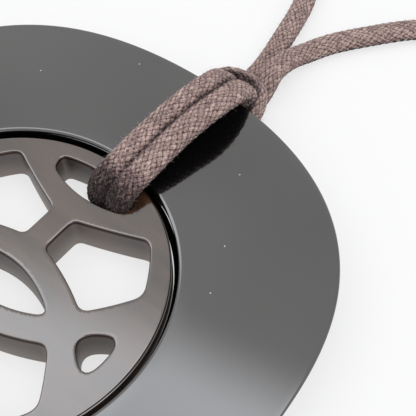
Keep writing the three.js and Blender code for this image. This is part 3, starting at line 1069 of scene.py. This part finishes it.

# %% Cotton's wear, colour and painted shade
CREST_AND_SHADE_SHARE, YARN_SHARE, LEAF_SHARE, FIBRE_SHARE, PATCH_SHARE = 0.44, 0.15, 0.16, 0.5, 0.26
WEAR_START, PAINTED_SHADE_SHARE, UNDERSIDE_SHADE_SHARE = 0.37, 0.62, 0.6
COTTON_STOPS = [(0.0, (0.014, 0.009, 0.009, 1)), (0.25, (0.070, 0.045, 0.045, 1)),
                (0.6, (0.270, 0.188, 0.172, 1)), (1.0, (0.620, 0.480, 0.415, 1))]
fibres = place.noise(scale=3000.0, detail=5.0, Roughness=0.8)
# Crests are paler, partly for wear and partly as a painted highlight; crevices and the borders between
# strands are darker, as painted shade.
border = (over - under).apply("ABSOLUTE").step(-0.02, 0.1)
worn_crest_and_shade = rise.step(0.05, 0.22) * (0.3 + 0.7 * border)
# Real tone and wear, less the painted shade stored on the mesh and painted shade on the side that faces down.
wear_and_shade = (worn_crest_and_shade * CREST_AND_SHADE_SHARE + yarns * YARN_SHARE + leaf * LEAF_SHARE + fibres.step(0.33, 0.67) * FIBRE_SHARE
        + place.noise(scale=600.0, detail=3.0) * PATCH_SHARE - WEAR_START
        - PAINTED_SHADE_SHARE * place.attribute("soiled") - UNDERSIDE_SHADE_SHARE * (1 - place.facing_up(-0.5, 0.25)))
feed(
    shader,
    Base_Color=place.node("ShaderNodeValToRGB", {"stops": COTTON_STOPS}, {"Fac": wear_and_shade}),
    Roughness=0.86 + 0.1 * fibres,
    Normal=(fibres * 0.5 + yarns * 0.5 + rise * 3).bumps(0.8, 0.00012),
)
loose, place, shader = finish_of("loose_cotton", Roughness=0.95, Specular_IOR_Level=0.1)
fine = place.noise(scale=900.0, detail=2.0).step(0.3, 0.7)
feed(shader, Base_Color=fine.colour((0.20, 0.15, 0.14, 1), (0.60, 0.48, 0.45, 1)))

# %% [markdown]
# ## The quiet finishes
# The seat is a black that gives nothing back, so it is painted shade as well as a ledge: it
# stands for the deep shade of the gap round the disc. The clasp is brushed steel, so its noise is
# squeezed hard one way. The floor is paper lit from within, like a light table, which keeps
# shadows on it pale.
# %% Seat, clasp and floor
# Painted shade: this black reflects nothing, so the gap round the disc reads as deep shade.
matt, place, shader = finish_of("matt_black", Roughness=1.0, Specular_IOR_Level=0.0)
nap = place.noise(scale=3000.0, detail=2.0)
feed(shader, Base_Color=nap.colour(grey(0.0012), grey(0.0028)), Normal=nap.bumps(0.3, 0.00005))

BRUSH_SCALE = (9000, 300, 300)
steel, place, shader = finish_of("brushed_dark_steel", Metallic=1.0)
brushed = place.node("ShaderNodeMapping", {}, {"Vector": place, "Scale": BRUSH_SCALE})
lines = brushed.noise(scale=1.0, detail=3.0)
feed(
    shader,
    Base_Color=lines.colour((0.030, 0.028, 0.026, 1), (0.075, 0.070, 0.066, 1)),
    Roughness=0.25 + 0.2 * lines,
    Normal=lines.bumps(0.15, 0.00003),
)

FLOOR_DARK, FLOOR_LIGHT = grey(0.20895), grey(0.21105)
paper, place, shader = finish_of("pale_paper", Roughness=0.9, Specular_IOR_Level=0.0,
                                 Emission_Color=grey(1), Emission_Strength=0.68)
tooth = place.noise(scale=900.0, detail=2.0)
feed(shader, Base_Color=tooth.colour(FLOOR_DARK, FLOOR_LIGHT))

for piece, finish in ((disc, horn), (plate, lacquer), (hitch_cord, cotton), (left_cord, cotton),
                      (right_cord, cotton), (clasp, steel), (floor, paper), (seat, matt), (down, loose)):
    piece.data.materials.append(finish)
    print(piece.name, "has", finish.name)

# %% [markdown]
# ## Light
# Polished black shows only what it mirrors, so the light is a room: soft grey walls and a wide
# bright panel overhead, whose edges fade so that no hard shape shows in the lacquer.
# %% Room of light
WALL_LIGHT, PANEL_LIGHT = 0.93, 2.75
PANEL_FACING = (0.06, -0.75, 0.66)
PANEL_NEAR_EDGE = (0.31, 0.39)
PANEL_FAR_EDGE = (0.62, 0.8)
WALL_TINT, PANEL_TINT = (1.0, 0.99, 0.98, 1), (0.965, 0.99, 1.03, 1)
UNEVENNESS = 0.16
room = bpy.data.worlds.new("soft_room")
room.use_nodes = True
bpy.context.scene.world = room
sky = room.node_tree.nodes["Background"]
direction = Wire(room.node_tree).node("ShaderNodeTexCoord", output="Generated")
facing = direction.node("ShaderNodeVectorMath", {"operation": "DOT_PRODUCT"},
                        {0: direction, 1: PANEL_FACING}, output="Value")
panel = facing.step(*PANEL_NEAR_EDGE) * (1 - facing.step(*PANEL_FAR_EDGE))
uneven = direction.noise(scale=5.0, detail=1.0).step(0.3, 0.7)
bright = (WALL_LIGHT + (PANEL_LIGHT - WALL_LIGHT) * panel) * (1 - UNEVENNESS / 2 + UNEVENNESS * uneven)
feed(sky, Strength=bright, Color=panel.colour(WALL_TINT, PANEL_TINT))
print("walls", WALL_LIGHT, "panel", PANEL_LIGHT)

for piece in (disc, plate, hitch_cord, left_cord, right_cord, clasp, seat, down):
    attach(piece, "root")
for piece, node, slot_name in (
    (disc, "horn_disc", "horn"), (plate, "lacquer_plate", "lacquer"),
    (hitch_cord, "cord_hitch", "cotton_hitch"), (left_cord, "cord_left", "cotton_left"),
    (right_cord, "cord_right", "cotton_right"), (clasp, "cord_clasp", "clasp_metal"),
):
    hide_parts(node)
